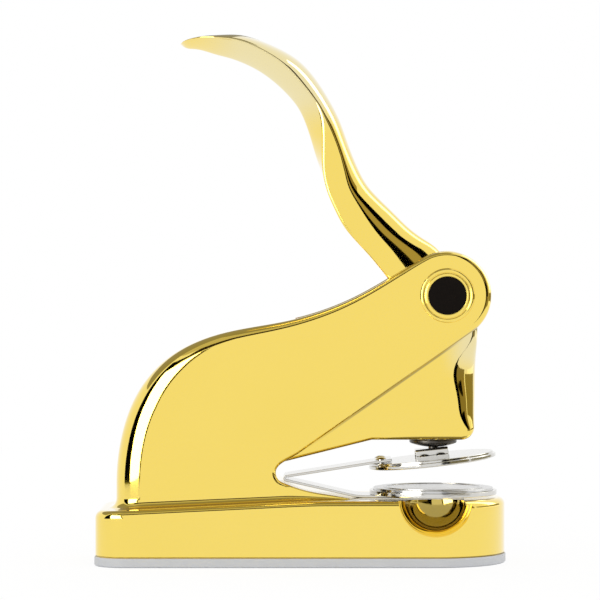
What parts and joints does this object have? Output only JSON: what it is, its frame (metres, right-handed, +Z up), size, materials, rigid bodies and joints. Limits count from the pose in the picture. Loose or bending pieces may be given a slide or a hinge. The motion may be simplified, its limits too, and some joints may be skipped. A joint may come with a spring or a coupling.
{
  "type": "seal embosser",
  "caption": "Desk seal embosser: cast gold-plated body, swan-neck lever, cam-driven plunger and a spring clip that holds two round dies over a paper mouth.",
  "frame": {"origin": "centre of the base, on the surface it stands on", "axes": "+X towards the paper mouth, +Z up, Y across the width"},
  "size_m": [0.1382, 0.0492, 0.1781],
  "materials": {
    "gold_plate": "mirror-bright gold plating on cast metal",
    "pad_rubber": "matt grey non-slip sheet",
    "plain_steel": "zinc-plated steel",
    "bronze": "sintered bronze",
    "black_plastic": "black moulded plastic",
    "dark_steel": "hardened steel, oil-blackened",
    "spring_steel": "drawn spring wire",
    "nickel_plate": "bright nickel plating on pressed steel",
    "die_brass": "nickelled brass counter die",
    "die_steel": "turned and engraved steel die"
  },
  "bodies": {
    "frame": {"frame_casting": "gold_plate", "base_pad": "pad_rubber", "bottom_plate": "plain_steel", "bottom_screws": "plain_steel", "pivot_pin": "plain_steel", "pivot_ring_left": "gold_plate", "pivot_ring_right": "gold_plate", "pivot_cap_left": "black_plastic", "pivot_cap_right": "black_plastic", "thrust_washer_left": "bronze", "thrust_washer_right": "bronze", "plunger_bush": "bronze", "return_spring": "spring_steel", "lower_leaf": "nickel_plate", "lower_clip_plate": "nickel_plate", "lower_die": "die_steel", "lower_leaf_rivets": "nickel_plate", "locating_stud": "plain_steel"},
    "lever": {"lever": "gold_plate", "lever_bush": "bronze"},
    "plunger": {"plunger": "plain_steel", "plunger_wear_cap": "dark_steel", "plunger_foot": "dark_steel", "foot_stud": "dark_steel"},
    "clip_arm": {"upper_leaf": "nickel_plate"},
    "upper_die_holder": {"upper_clip_plate": "nickel_plate", "upper_die": "die_brass", "coupling_bracket": "nickel_plate", "bracket_rivets": "nickel_plate", "upper_leaf_rivets": "nickel_plate"}
  },
  "joints": [
    {"name": "lever_swing", "type": "hinge", "parent": "frame", "child": "lever", "pos_m": [0.0488, 0, 0.09], "axis": [0, -1, 0], "range_deg": [0, 46], "stiffness_Nm_per_rad": 0.3, "springref_deg": -57.3},
    {"name": "plunger_slide", "type": "slide", "parent": "frame", "child": "plunger", "axis": [0, 0, -1], "range_m": [0, 0.00797], "deforming": ["return_spring"]},
    {"name": "clip_arm_flex", "type": "hinge", "parent": "frame", "child": "clip_arm", "pos_m": [-0.0049, 0, 0.0292], "axis": [0, 1, 0], "range_deg": [0, 10.62]},
    {"name": "upper_die_tilt", "type": "hinge", "parent": "clip_arm", "child": "upper_die_holder", "pos_m": [0.02683, 0, 0.03416], "axis": [0, -1, 0], "range_deg": [0, 4.42]}
  ],
  "couplings": [
    {"joint": "plunger_slide", "follows": "lever_swing", "m_per_rad": 0.0098001},
    {"joint": "clip_arm_flex", "follows": "lever_swing", "ratio": 0.22984},
    {"joint": "upper_die_tilt", "follows": "lever_swing", "ratio": 0.095057}
  ]
}
